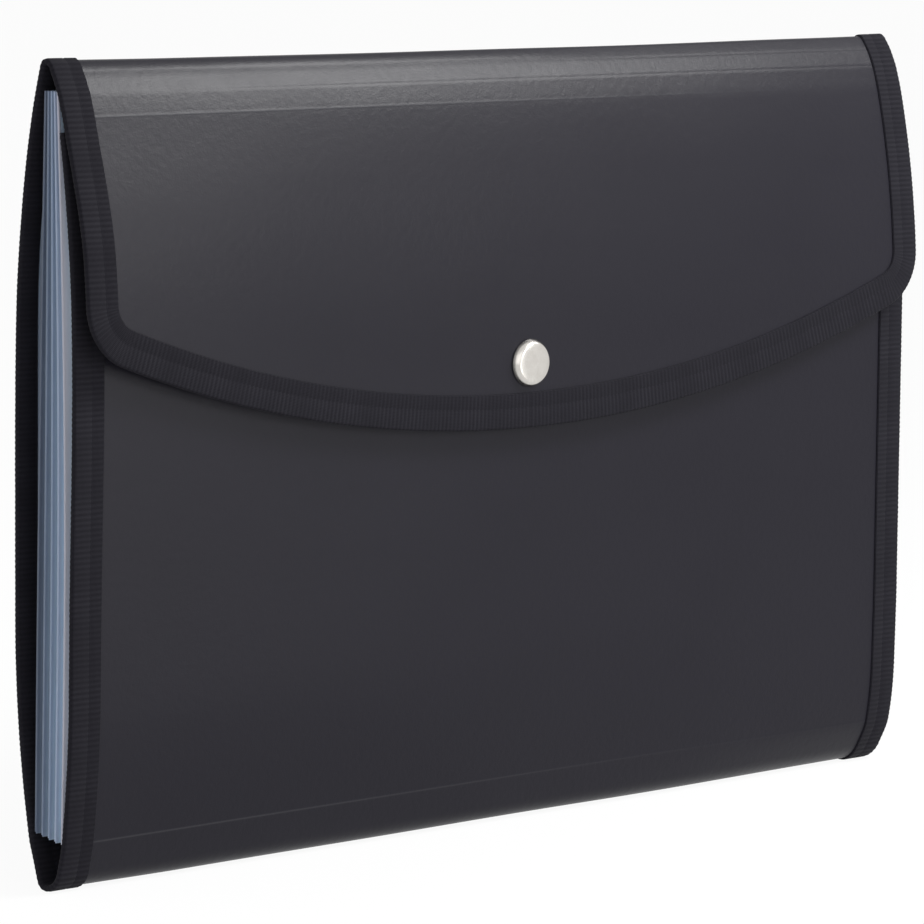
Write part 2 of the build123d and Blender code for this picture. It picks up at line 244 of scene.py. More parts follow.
# Light, in metres and watts. A lamp has a name, a place, what it aims at, its size and its power.
white_rays = ("Is Camera Ray", "Is Glossy Ray", "Is Transmission Ray")
room_strength = 0.58
floor_reach = 30.0
floor_white = 0.93
lamps = [
    ("soft_box_right", (0.39, -0.41, 0.66), (0, 0, 0.2), (0.33, 0.235), 6.4),
    ("soft_box_front", (0.37, -0.85, 0.33), (0, 0, 0.15), (0.22, 0.22), 1.9),
    ("soft_box_low", (0.12, -0.45, 0.05), (-0.12, 0, 0.08), (0.2, 0.1), 0.17),
    ("soft_box_left", (-1.45, -1.5, 0.55), (0, 0, 0.12), (3.0, 2.6), 18.0),
]

# Camera, its place in millimetres and its angles in degrees
camera_place = (-1027.8, -1115.0, 294.7)
camera_turn = 42.3
camera_dip = 7.044
camera_tip = 0.54
camera_lens = 202.1

# Half the thickness of a bound edge, and how far in from the tape's the sheet's own edge lies
wrap = sheet / 2 + tape_seat + tape
edge = tape + tape_seat

# Where the panels' middle surfaces lie
half_width = folder_width / 2
back_y = folder_depth / 2 - wrap
flap_y = -folder_depth / 2 + cap_height + sheet / 2
front_y = flap_y + sheet + socket_height + snap_play + stud_flange
base_y = (back_y + front_y) / 2 - base_lead
base_back_y = base_y + base_width / 2
base_front_y = base_y - base_width / 2
back_straight_top = folder_height - back_lean_drop
front_straight_top = folder_height - front_lean_drop
front_top_z = folder_height - front_drop
flap_straight_top = folder_height - flap_lean_drop
flap_low_z = folder_height - flap_drop
snap_z = flap_low_z + snap_rise
pocket_low_z = base_fold_z + film_rise
pocket_top_z = folder_height - film_drop


def sag(radius, run):
    """How far an arc leaves its tangent after a run along it."""
    return radius - np.sqrt(radius**2 - run**2)


def run_of(radius, drop):
    """Run along the tangent after which an arc has left it by drop."""
    return sqrt(2 * radius * drop - drop**2)


def radius_of(run, drop):
    """Radius of the arc that leaves its tangent by drop after a run along it."""
    return (run**2 + drop**2) / (2 * drop)


back_low_run = run_of(low_radius, back_y - base_back_y)
front_low_run = run_of(low_radius, base_front_y - front_y)
back_low_angle = degrees(asin(back_low_run / low_radius))
front_low_angle = degrees(asin(front_low_run / low_radius))
back_straight_low = base_fold_z + back_low_run
front_straight_low = base_fold_z + front_low_run


def back_at(z):
    """Y of the back panel's middle surface at a height."""
    below = np.maximum(0.0, back_straight_low - z)
    above = np.maximum(0.0, z - back_straight_top)
    return back_y - sag(low_radius, below) - sag(back_top_radius, above)


front_top_y = back_at(front_top_z) - 2 * wrap - mouth
front_top_radius = radius_of(front_top_z - front_straight_top, front_top_y - front_y)
front_top_angle = degrees(asin((front_top_z - edge - front_straight_top) / front_top_radius))


def front_at(z):
    """Y of the front panel's middle surface at a height."""
    below = np.maximum(0.0, front_straight_low - z)
    above = np.maximum(0.0, z - front_straight_top)
    return front_y + sag(low_radius, below) + sag(front_top_radius, above)


# The flap's fold, placed from the construction's ridge circle, which touches the back from inside
ridge_z = folder_height - wrap - ridge_radius


def inside_back(radius, z):
    """Y of the centre of a circle that touches the back panel's top arc from inside."""
    return back_y - back_top_radius + sqrt((back_top_radius - radius) ** 2 - (z - back_straight_top) ** 2)


flap_fold_y = inside_back(ridge_radius, ridge_z) - strip_reach
flap_fold_z = ridge_z - strip_drop
flap_run_up = flap_fold_z - flap_straight_top
flap_radius = radius_of(flap_run_up, flap_fold_y - flap_y)
flap_angle = degrees(asin(flap_run_up / flap_radius))

# Creased facets lead up from the flap's fold, and the last one runs into the rounded crest
facet_lengths = []
crease_y, crease_z = flap_fold_y, flap_fold_z
for slope, drop in zip(facet_slopes, score_drops):
    rise = folder_height - drop - crease_z
    facet_lengths.append(rise / cos(radians(slope)))
    crease_y += rise * tan(radians(slope))
    crease_z += rise
crest_z = folder_height - wrap - crest_radius
crest_y = inside_back(crest_radius, crest_z)
back_top_angle = degrees(atan2(crest_z - back_straight_top, crest_y - back_y + back_top_radius))
crease_away = hypot(crease_y - crest_y, crease_z - crest_z)
crease_bearing = degrees(atan2(crease_z - crest_z, crease_y - crest_y)) % 360
crest_end = crease_bearing - degrees(acos(crest_radius / crease_away))
crest_facet = sqrt(crease_away**2 - crest_radius**2)
ridge_turn = 180 - facet_slopes[1] - crest_end
seam_turn = facet_slopes[1] - facet_slopes[0]
ridge_trim = crease_radius * tan(radians(ridge_turn / 2))
seam_trim = crease_radius * tan(radians(seam_turn / 2))
flap_bend_lean = flap_angle - degrees(flap_bend_run / flap_radius)
flap_bend_turn = facet_slopes[0] - flap_bend_lean
flap_bend_radius = flap_bend_run / tan(radians(flap_bend_turn / 2))

# The base: two sloping legs, rounded into the bottom. The back leg bends into the back panel.
bend_turn = back_slope - back_low_angle
bend_run = leg_bend * tan(radians(bend_turn / 2))
leg_bend_y = base_back_y - bend_run * sin(radians(back_low_angle))
leg_bend_z = base_fold_z - bend_run * cos(radians(back_low_angle))
front_leg_drop = base_fold_z - wrap
back_leg_drop = leg_bend_z - wrap
front_turn = 90 - front_slope
back_turn = 90 - back_slope
front_corner_run = front_round * tan(radians(front_turn / 2))
back_corner_run = back_round * tan(radians(back_turn / 2))
front_leg = front_leg_drop / cos(radians(front_slope)) - front_corner_run
back_leg = back_leg_drop / cos(radians(back_slope)) - back_corner_run - bend_run
flat_front_y = base_front_y + front_leg_drop * tan(radians(front_slope)) + front_corner_run
flat_back_y = leg_bend_y - back_leg_drop * tan(radians(back_slope)) - back_corner_run
base_flat = flat_back_y - flat_front_y


class Path:
    """A line of straight and curved moves in the YZ plane, measured along its length.

    Headings are in degrees, 0 towards +Y and 90 up. Curves turn left, where the folder's inside is.
    """

    tight_step = radians(10)

    def __init__(self, y, z, heading):
        self.moves = []
        self.length = 0.0
        self.y, self.z, self.heading = y, z, radians(heading)

    def line(self, length):
        """Go straight on. Returns the path's length so far."""
        return self._go(length, 0.0)

    def arc(self, radius, angle):
        """Turn left on an arc. Returns the path's length so far."""
        return self._go(radius * radians(angle), 1 / radius)

    def bend_to(self, heading):
        """Turn on the spot, at a fold."""
        self.heading = radians(heading)

    def _go(self, length, curve):
        self.moves.append((self.length, self.y, self.z, self.heading, curve))
        self.length += length
        self.y, self.z, self.heading = [float(value) for value in self.at(self.length)]
        return self.length

    def at(self, s):
        """Y, Z and heading at lengths along the path."""
        moves = np.array(self.moves)
        index = np.searchsorted(moves[:, 0], s, side="right") - 1
        begin, y, z, heading, curve = np.moveaxis(moves[np.maximum(index, 0)], -1, 0)
        run = s - begin
        turned = heading + curve * run
        straight = curve == 0
        bend = np.where(straight, 1.0, curve)
        y = y + np.where(straight, run * np.cos(heading), (np.sin(turned) - np.sin(heading)) / bend)
        z = z + np.where(straight, run * np.sin(heading), (np.cos(heading) - np.cos(turned)) / bend)
        return y, z, turned

    def points(self, x, s, out):
        """Points at a place across the width, a length along the path and a distance outward."""
        x, s, out = np.broadcast_arrays(x, s, out)
        y, z, heading = self.at(s)
        return np.stack([x, y + out * np.sin(heading), z - out * np.cos(heading)], axis=-1)

    def rows(self, start, end, pitch):
        """Lengths from start to end, at most pitch apart and closer on tight curves."""
        found = [start]
        ends = [move[0] for move in self.moves[1:]] + [self.length]
        for (begin, *_, curve), stop in zip(self.moves, ends):
            low, high = max(start, begin), min(end, stop)
            if high <= low:
                continue
            step = min(pitch, self.tight_step / curve) if curve else pitch
            count = ceil((high - low) / step)
            found.extend(low + (high - low) * np.arange(1, count + 1) / count)
        return np.array(found)


# The cover's middle surface, from the front's top edge round the base and over the ridge to the flap
cover = Path(front_at(front_top_z - edge), front_top_z - edge, 270 - front_top_angle)
cover.arc(front_top_radius, front_top_angle)
cover.line(front_straight_top - front_straight_low)
front_fold = cover.arc(low_radius, front_low_angle)
cover.bend_to(270 + front_slope)
cover.line(front_leg)
front_corner_end = cover.arc(front_round, front_turn)
base_middle = cover.line(base_flat) - base_flat / 2
cover.arc(back_round, back_turn)
cover.line(back_leg)
back_fold = cover.arc(leg_bend, bend_turn)
cover.arc(low_radius, back_low_angle)
cover.line(back_straight_top - back_straight_low)
ridge_fold = cover.arc(back_top_radius, back_top_angle)
crest_middle = ridge_fold + crest_radius * radians(90 - back_top_angle)
cover.arc(crest_radius, crest_end - back_top_angle)
cover.line(crest_facet - ridge_trim)
ridge_score = cover.arc(crease_radius, ridge_turn) - crease_radius * radians(ridge_turn / 2)
cover.line(facet_lengths[1] - ridge_trim - seam_trim)
strip_seam = cover.arc(crease_radius, seam_turn) - crease_radius * radians(seam_turn / 2)
cover.line(facet_lengths[0] - seam_trim - flap_bend_run)
flap_fold = cover.arc(flap_bend_radius, flap_bend_turn) - flap_bend_radius * radians(flap_bend_turn / 2)
flap_straight = cover.arc(flap_radius, flap_bend_lean)
cover.line(flap_straight_top - flap_low_z)


def flap_length(z):
    """Length along the cover at a height on the flap."""
    lean = np.arcsin(np.clip((z - flap_straight_top) / flap_radius, 0.0, 1.0))
    low = np.maximum(0.0, flap_straight_top - z)
    return flap_straight - flap_radius * lean + low


# Flap outline in front view: the corner's centre and where its arc meets the lower edge's
corner_x = half_width - flap_corner
corner_rise = flap_edge_radius - flap_corner
edge_centre_z = flap_low_z + flap_edge_radius
corner_z = edge_centre_z - sqrt(corner_rise**2 - corner_x**2)
corner_lean = asin(corner_x / corner_rise)


def flap_edge(x, inset):
    """Height of the flap's lower edge, moved in by inset, at places across its width."""
    corner = flap_corner - inset
    aside = np.clip(np.abs(x) - corner_x, 0.0, corner)
    round_z = corner_z - np.sqrt(corner**2 - aside**2)
    low_z = edge_centre_z - np.sqrt((flap_edge_radius - inset) ** 2 - np.square(x))
    return np.where(np.abs(x) > corner_x + corner * sin(corner_lean), round_z, low_z)


class Value:
    """A number that varies over a surface: a socket that Python's operators extend with Math nodes."""

    def __init__(self, nodes, socket):
        self.nodes = nodes
        self.socket = socket

    def _math(self, operation, first, second):
        return self.nodes.node("ShaderNodeMath", {"operation": operation}, {0: first, 1: second})

    def __add__(self, other):
        return self._math("ADD", self, other)

    def __sub__(self, other):
        return self._math("SUBTRACT", self, other)

    def __rsub__(self, other):
        return self._math("SUBTRACT", other, self)

    def __mul__(self, other):
        return self._math("MULTIPLY", self, other)

    def __pow__(self, other):
        return self._math("POWER", self, other)

    __radd__ = __add__
    __rmul__ = __mul__


class Nodes:
    """A node tree in the making."""

    def __init__(self, tree):
        self.tree = tree

    def node(self, kind, settings=None, inputs=None, output=0):
        """Add a node, with its settings first and then the values or links of its sockets."""
        made = self.tree.nodes.new(kind)
        for name, value in (settings or {}).items():
            setattr(made, name, value)
        for name, value in (inputs or {}).items():
            self.feed(made.inputs[name], value)
        return Value(self, made.outputs[output])

    def feed(self, socket, value):
        """Link a value that varies to a socket, or set a constant on it."""
        if isinstance(value, Value):
            self.tree.links.new(value.socket, socket)
        else:
            socket.default_value = value

    def background_seen(self):
        """1 for the rays that see the background, straight on or mirrored, and 0 for the rest."""
        return sum(self.node("ShaderNodeLightPath", output=ray) for ray in white_rays)


class Finish(Nodes):
    """A material in the making: its node tree and its Principled shader."""

    def __init__(self, name):
        self.material = bpy.data.materials.new(name)
        self.material.use_nodes = True
        super().__init__(self.material.node_tree)
        self.shader = self.tree.nodes["Principled BSDF"]
        self.place = self.node("ShaderNodeTexCoord", output="Object")

    def set(self, sockets):
        """Set the shader's own sockets by their names."""
        for name, value in sockets.items():
            self.feed(self.shader.inputs[name], value)

    def noise(self, size, detail=3.0, stretch=(1, 1, 1)):
        """Cloudy numbers from 0 to 1, about one feature each size in millimetres."""
        scaled = self.node(
            "ShaderNodeVectorMath",
            {"operation": "MULTIPLY"},
            {0: self.place, 1: [1 / (size * mm * along) for along in stretch]},
        )
        return self.node("ShaderNodeTexNoise", None, {"Vector": scaled, "Scale": 1.0, "Detail": detail})

    def mark(self, name):
        """A number that the mesh carries at its points."""
        return self.node("ShaderNodeAttribute", {"attribute_name": name}, output="Fac")

    def wave(self, value, pitch):
        """A sine from 0 to 1 of a length in millimetres."""
        turned = self.node("ShaderNodeMath", {"operation": "SINE"}, {0: value * (2 * pi / pitch)})
        return turned * 0.5 + 0.5

    def blend(self, share, first, second):
        """A colour between two colours. A Mix node's sockets 6, 7 and 2 are the ones for colours."""
        return self.node(
            "ShaderNodeMix",
            {"data_type": "RGBA"},
            {0: share, 6: first, 7: second},
            output=2,
        )

    def relief(self, height, depth, under=None):
        """Bump of a depth in millimetres, over another one if given."""
        inputs = {"Height": height, "Distance": depth * mm}
        if under:
            inputs["Normal"] = under
        return self.node("ShaderNodeBump", None, inputs)


def satin_cover():
    """Black polypropylene sheet: satin, with a fine grain, a faint cloudiness, a few rubbed places and a
    highlight painted along its two folds.
    """
    finish = Finish("satin_cover")
    grain = finish.noise(0.5, detail=2.0)
    mottle = finish.noise(2.2, detail=2.0)
    cloud = finish.noise(60.0)
    rubbed = finish.noise(9.0, detail=5.0, stretch=(4, 1, 1)) ** 4.0
    body = finish.blend(cloud, cover_dark, cover_light)
    finish.set({
        # A highlight painted along the folds, over the cloudy sheet colour
        "Base Color": finish.blend(finish.mark("fold_highlight"), body, fold_highlight_colour),
        "Roughness": 0.33 + cloud * 0.04 + grain * 0.03 + mottle * 0.04 - rubbed * 0.1,
        "Normal": finish.relief(grain, 0.03, finish.relief(mottle, 0.065, finish.relief(cloud, 0.08))),
        "Specular IOR Level": 0.17,
    })
    return finish.material


def ribbed_tape():
    """Black grosgrain: dull woven threads along the tape between its cross ribs, whose crests carry a
    painted highlight and whose hollows a painted shade.
    """
    finish = Finish("ribbed_tape")
    threads = finish.wave(finish.mark("across"), thread_pitch)
    fibre = finish.noise(0.35, detail=4.0)
    worn = finish.noise(14.0)
    rib = finish.mark("rib")
    # The rib mark paints the crests lighter and the hollows darker, as light and shade; threads, fibre and
    # wear vary the colour at random
    tone = rib * (0.12 + worn * 0.35) + threads * 0.15 + fibre * 0.3 + worn * 0.1
    finish.set({
        "Base Color": finish.blend(tone, tape_dark, tape_light),
        "Roughness": 0.86 - rib * 0.12 + fibre * 0.06,
        "Normal": finish.relief(threads * 0.6 + fibre * 0.5, 0.06),
        "Specular IOR Level": 0.12,
        "Sheen Weight": 0.015,
        "Sheen Roughness": 0.5,
    })
    return finish.material


def frosted_film():
    """Blue-grey polypropylene film, darkened with painted shade towards the rear of the stack, lightened
    with a painted copy of its colour in the folds and faces that lie in shade, and pale pinkish grey along
    its front-most edges.
    """
    finish = Finish("frosted_film")
    cloud = finish.noise(25.0, stretch=(1, 1, 5))
    drawn = finish.noise(2.5, stretch=(1, 1, 14))
    ridge = finish.mark("ridge")
    front = finish.mark("front")
    # Painted shade: the front mark darkens the film towards the rear of the stack; cloud and drawn streaks
    # vary it at random
    tone = front * 0.8 + cloud * 0.15 + drawn * 0.1
    edge_tone = finish.blend(tone, film_shaded_rear, film_pale)
    # Away from the edges, where the folds lie in shade, a lighter painted copy of the colour
    fold_lit_tone = finish.blend(tone, film_fold_lit_rear, film_fold_lit_front)
    body = finish.blend(ridge, fold_lit_tone, edge_tone)
    finish.set({
        "Base Color": finish.blend(ridge * front**6.0 * 0.7, body, film_front),
        "Roughness": 0.5 + cloud * 0.1 - ridge * 0.08,
        "Normal": finish.relief(drawn, 0.03),
        "Specular IOR Level": 0.35,
        "Subsurface Weight": 0.3,
        "Subsurface Radius": (0.9, 0.95, 1.0),
        "Subsurface Scale": 1.5 * mm,
    })
    return finish.material


def bright_metal():
    """Nickel-plated brass: nearly mirror bright, with an uneven haze and fine dull specks."""
    finish = Finish("bright_metal")
    breath = finish.noise(4.0)
    speck = finish.noise(0.6, detail=5.0)
    finish.set({
        "Base Color": finish.blend(breath * 0.7 + speck * 0.3, nickel_dark, nickel_light),
        "Metallic": 1.0,
        "Roughness": 0.18 + breath * 0.08 + speck * 0.06,
        "Normal": finish.relief(speck, 0.004),
    })
    return finish.material


def add_piece(name, points, faces, material, marks=None):
    """A smooth closed mesh from points in millimetres. Marks are named numbers, one a point."""
    mesh = bpy.data.meshes.new(name)
    mesh.from_pydata((np.asarray(points, float).reshape(-1, 3) * mm).tolist(), [], faces)
    form = bmesh.new()
    form.from_mesh(mesh)
    bmesh.ops.recalc_face_normals(form, faces=form.faces)
    form.to_mesh(mesh)
    form.free()
    for mark, values in (marks or {}).items():
        attribute = mesh.attributes.new(mark, "FLOAT", "POINT")
        attribute.data.foreach_set("value", np.asarray(values, np.float32).ravel())
    mesh.shade_smooth()
    mesh.set_sharp_from_angle(angle=crisp_angle)
    mesh.materials.append(material)
    piece = bpy.data.objects.new(name, mesh)
    bpy.context.collection.objects.link(piece)
    return piece


def ease(value, start, end):
    """Smooth step from 0 at start to 1 at end."""
    t = np.clip((value - start) / (end - start), 0.0, 1.0)
    return t * t * (3 - 2 * t)


def near(value, middle, reach):
    """A bell of height 1 about a middle value."""
    return np.exp(-(((value - middle) / reach) ** 2))


def hinge(piece, share):
    """Lay a piece's placement into its mesh; the piece is not bent between two bodies.

    Share, how far each of its points would go with the second body, is not used. The shares take the place
    of those along a straight line, because the folder's sheets go round.
    """
    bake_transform(piece)


def fold_at(piece, s, fold, towards=1):
    """Shares of a piece's points at a fold of the cover, handed to hinge, which does not bend it. The
    moving side comes after the fold, 1, or before it, -1.
    """
    reach = towards * fold_reach
    hinge(piece, ease(s, fold - reach, fold + reach))


def quads(rows, columns, first=0, ring=False):
    """Faces of a grid of points that runs row by row. A ring joins the last column to the first."""
    across = columns if ring else columns - 1
    return [
        (
            first + r * columns + c,
            first + r * columns + (c + 1) % columns,
            first + (r + 1) * columns + (c + 1) % columns,
            first + (r + 1) * columns + c,
        )
        for r in range(rows - 1)
        for c in range(across)
    ]


def tube(rows, columns):
    """Faces of a tube of rings of points that runs ring by ring, closed at both ends."""
    ends = [tuple(range(columns)), tuple(range((rows - 1) * columns, rows * columns))]
    return quads(rows, columns, ring=True) + ends


def slab(outer, inner):
    """Points and faces of a closed sheet between two grids of points."""
    rows, columns = outer.shape[:2]
    count = rows * columns
    top = range(columns)
    right = range(2 * columns - 1, count, columns)
    bottom = range(count - 2, count - columns - 1, -1)
    left = range(count - 2 * columns, 0, -columns)
    rim = [*top, *right, *bottom, *left]
    sides = [(a, b, b + count, a + count) for a, b in zip(rim, rim[1:] + rim[:1])]
    points = np.concatenate([outer.reshape(-1, 3), inner.reshape(-1, 3)])
    return points, quads(rows, columns) + quads(rows, columns, count) + sides


def on_both_faces(values, grid):
    """A number for each point of a slab, from the numbers of one of its two grids."""
    return np.tile(np.broadcast_to(values, grid.shape).ravel(), 2)


def creased(x, s):
    """Height of the score lines and fold beads. The ridge's scores fade to the left."""
    lines = {
        ridge_score: -score_depth * ease(x, *ridge_score_fade),
        strip_seam: -score_depth * ease(x, *seam_score_fade),
        flap_fold: score_bead * ease(x, *bead_fade),
        front_fold: score_bead,
    }
    return sum(height * near(s, line, score_width) for line, height in lines.items())


def fold_highlight_share(x, s):
    """How far a highlight is painted along the two folds, most at the left and less on the front's."""
    lines = near(s, flap_fold, highlight_width) + front_highlight * near(s, front_fold, highlight_width)
    return lines * ease(x, *highlight_fade)


def with_score_rows(rows, lines):
    """Rows with closer ones added at the score lines that lie between the first and the last."""
    extra = np.concatenate([line + score_rows * score_width for line in lines])
    extra = extra[(extra > rows[0]) & (extra < rows[-1])]
    kept = [row for row in rows if np.min(np.abs(extra - row)) > score_width / 4]
    return np.sort(np.concatenate([kept, extra, rows[[0, -1]]]))


def ripple(x, s):
    """Faint waves of the sheet, gone where the tape holds it."""
    held = ease(half_width - np.abs(x), tape_face, tape_face + ripple_fade)
    waves = sum(np.sin(x / across + s / along + shift) for across, along, shift in ripple_waves)
    return ripple_height * held * waves


def settle(x, s):
    """How far the cover has settled outward in use, at places across and lengths along it."""
    sinking = crest_sag * (1 - (x / half_width) ** 2) * near(s, crest_middle, crest_reach)
    roll_middle = (crest_middle + ridge_score) / 2
    roll_wave = 1 + roll_sway * np.sin(x / roll_pitch)
    roll = crest_roll * ease(x, *roll_fade) * roll_wave * near(s, roll_middle, roll_reach)
    left = ease(x, *left_fade)
    flap_lift = flap_stand * left * ease(s, flap_fold, flap_fold + flap_stand_run)
    front_lift = front_stand * left * near(s, front_stand_at, front_stand_reach)
    right = ease(x, *right_rounding_fade)
    low_lift = low_stand * right * near(s, front_fold - low_stand_rise, low_stand_reach)
    lean = back_settle * near(s, ridge_fold - back_settle_drop, back_settle_reach)
    return roll + flap_lift + front_lift + low_lift - sinking - lean


def rounding(x, s):
    """How far the base's lower edge is drawn towards the back at its two ends."""
    ends = left_rounding * ease(x, *left_rounding_fade) + right_rounding * ease(x, *right_rounding_fade)
    front_side = ease(s, front_fold, front_corner_end - rounding_lead)
    back_side = ease(s, back_fold, front_corner_end)
    return ends * front_side * back_side


def on_cover(x, s, out):
    """Points of the settled cover, at a distance outward from the middle of its sheet."""
    points = cover.points(x, s, out + settle(x, s))
    points[..., 1] += rounding(x, s)
    return points


def cover_sheet(name, x, s):
    """A stretch of the cover sheet on a grid of places across and lengths along it."""
    middle = ripple(x, s) + creased(x, s)
    points, faces = slab(on_cover(x, s, middle + sheet / 2), on_cover(x, s, middle - sheet / 2))
    # Where the highlight is painted along the folds
    marks = {"fold_highlight": on_both_faces(fold_highlight_share(x, s), s)}
    return add_piece(name, points, faces, cover_finish, marks), on_both_faces(s, s)


def straight_sheet(name, start, end, lines):
    """A stretch of the cover sheet with straight sides."""
    reach = half_width - tuck
    x = np.linspace(-reach, reach, sheet_columns)
    s = with_score_rows(cover.rows(start, end, row_pitch), lines)
    return cover_sheet(name, *np.meshgrid(x, s))


def build_cover():
    """The cover: front, back with the base and the top strip, and the flap with its lower edge."""
    front, s = straight_sheet("front_sheet", 0.0, base_middle, [front_fold])
    fold_at(front, s, front_fold, towards=-1)
    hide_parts("front_panel")

    back, s = straight_sheet("back_sheet", base_middle, strip_seam, [ridge_score, strip_seam])
    fold_at(back, s, ridge_fold)
    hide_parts("back_panel", "base_panel", "top_strip")

    reach = half_width - tuck
    bend = np.sin(np.linspace(0, pi / 2, flap_bend_columns))[1:] * (reach - corner_x) + corner_x
    x = np.concatenate([-bend[::-1], np.linspace(-corner_x, corner_x, sheet_columns), bend])
    level = flap_length(corner_z + tuck)
    upper = with_score_rows(cover.rows(strip_seam, level, row_pitch), [strip_seam, flap_fold])
    lower = np.linspace(0, 1, flap_rows)[1:, None] * (flap_length(flap_edge(x, tuck)) - level) + level
    s = np.concatenate([np.repeat(upper[:, None], len(x), axis=1), lower])
    flap, s = cover_sheet("flap_sheet", np.broadcast_to(x, s.shape), s)
    fold_at(flap, s, flap_fold)
    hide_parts("flap_panel")


def tape_section():
    """Folded tape in section: inset from the bound edge, offset from the sheet, and a rib's push.

    The push has a part inward from the edge and a part off the sheet.
    """
    bend = np.linspace(pi / 2, 3 * pi / 2, tape_bend_points)
    inset = [wrap + wrap * np.cos(a) for a in bend]
    offset = [wrap * np.sin(a) for a in bend]
    push = [(np.cos(a), np.sin(a)) for a in bend]
    face = [
        (tape_face, wrap - selvage, 0.3, 0.3),
        (tape_face - selvage, wrap, 0.0, 0.8),
        (stitch_inset + stitch_groove, wrap, 0.0, 1.0),
        (stitch_inset, wrap - stitch_depth, 0.0, 0.3),
        (stitch_inset - stitch_groove, wrap, 0.0, 1.0),
        (stitch_inset / 2, wrap, 0.0, 1.0),
    ]
    outer = np.array(face)
    inner = outer[::-1] * (1, -1, 1, -1)
    fold = np.column_stack([inset, offset, push])
    return np.concatenate([outer, fold, inner])


def lay_tape(name, x, s, inward, along, lift=0.0):
    """Tape folded over an edge of the cover that runs through x, s. Along sets the ribs' places."""
    inset, offset, push_in, push_out = tape_section().T
    uneven = 1 + rib_sway * np.sin(along / rib_drift) * np.sin(along / rib_beat)
    rib = uneven * np.sin(pi * along / rib_pitch) ** 2
    swell = (rib[:, None] - 0.5) * rib_height
    inset = inset + swell * push_in
    across = x[:, None] + inward[:, :1] * inset
    length = s[:, None] + inward[:, 1:] * inset
    points = on_cover(across, length, offset + swell * push_out + lift * np.sign(offset))
    rows, columns = points.shape[:2]
    marks = {
        "across": inset,
        "rib": np.repeat(rib[:, None], columns, axis=1),
    }
    piece = add_piece(name, points, tube(rows, columns), tape_finish, marks)
    return piece, np.repeat(s[:, None], columns, axis=1)


def rib_rows(start, end):
    """Lengths from start to end with the same number of rows to each rib."""
    count = ceil((end - start) * rows_per_rib / rib_pitch)
    return np.linspace(start, end, count + 1)


def side_tape(name, side, start, end):
    """Tape down a straight side of the cover, left -1 or right 1."""
    s = rib_rows(start, end)
    x = np.full_like(s, side * half_width)
    inward = np.column_stack([np.full_like(s, -side), np.zeros_like(s)])
    return lay_tape(name, x, s, inward, s - flap_fold)


def flap_route():
    """The flap's edge from the seam down the left side, round the bottom and up to the right seam."""
    side_s = rib_rows(strip_seam, flap_length(corner_z))
    turn = np.linspace(pi / 2, corner_lean, ceil(flap_corner * rows_per_rib / rib_pitch))[1:]
    low = np.linspace(corner_lean, 0, ceil(flap_edge_radius * corner_lean * rows_per_rib / rib_pitch))[1:]
    x = np.concatenate([
        np.full_like(side_s, half_width),
        corner_x + flap_corner * np.sin(turn),
        flap_edge_radius * np.sin(low),
    ])
    s = np.concatenate([
        side_s,
        flap_length(corner_z - flap_corner * np.cos(turn)),
        flap_length(edge_centre_z - flap_edge_radius * np.cos(low)),
    ])
    along = strip_seam - flap_fold + np.concatenate([[0], np.cumsum(np.hypot(np.diff(x), np.diff(s)))])
    x = np.concatenate([-x, x[-2::-1]])
    s = np.concatenate([s, s[-2::-1]])
    along = np.concatenate([along, along[-2::-1]])
    way = np.column_stack([np.gradient(x), np.gradient(s)])
    way /= np.linalg.norm(way, axis=1)[:, None]
    inward = np.column_stack([way[:, 1], -way[:, 0]])
    return x, s, inward, along


def build_tape():
    """Edge tape: up the front and over its top, up the back and over the ridge, and round the flap."""
    for side, word in ((-1, "left"), (1, "right")):
        front, s = side_tape(f"front_tape_{word}", side, -edge, base_middle)
        fold_at(front, s, front_fold, towards=-1)
        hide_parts("front_binding")
        back, s = side_tape(f"back_tape_{word}", side, base_middle, strip_seam)
        fold_at(back, s, ridge_fold)
        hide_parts(f"back_binding_{word}", f"base_binding_{word}", f"strip_binding_{word}")

    x = rib_rows(-half_width + tape_face - tuck, half_width - tape_face + tuck)
    s = np.full_like(x, -edge)
    inward = np.column_stack([np.zeros_like(x), np.ones_like(x)])
    top, _ = lay_tape("front_tape_top", x, s, inward, x, lift=-tape_tuck)
    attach(top, "front_cover")

    flap, s = lay_tape("flap_tape", *flap_route())
    fold_at(flap, s, flap_fold)
    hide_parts("flap_binding")


# Where the films' lower and upper ends lie
rear_low = back_at(pocket_low_z) - wrap - film_low_gap
front_low = front_at(pocket_low_z) + wrap + film_low_gap
rear_top = back_at(pocket_top_z) - wrap - film_rear_gap
front_top = front_top_y + wrap + film_front_gap
film_half = half_width - pocket_inset
film_bodies = ["back_cover", *[f"film_{i}" for i in range(1, pocket_count)], "front_cover"]


def film_share(index):
    """Place of a divider between the first, next to the back, and the last."""
    return (index - 1) / (pocket_count - 2)


def film_y(index, z):
    """Y of a divider at heights, bowed as the pocket swells."""
    share = film_share(index)
    rise = (z - pocket_low_z) / (pocket_top_z - pocket_low_z)
    low = rear_low + (front_low - rear_low) * share
    top = rear_top + (front_top - rear_top) * share
    bow = rear_bow + (front_bow - rear_bow) * share
    return low + (top - low) * rise + bow * np.sin(pi * np.clip(rise, 0, 1))


def film_low(index):
    """Height of a divider's lower edge, which steps down towards the front."""
    return pocket_low_z - film_stagger * film_share(index)


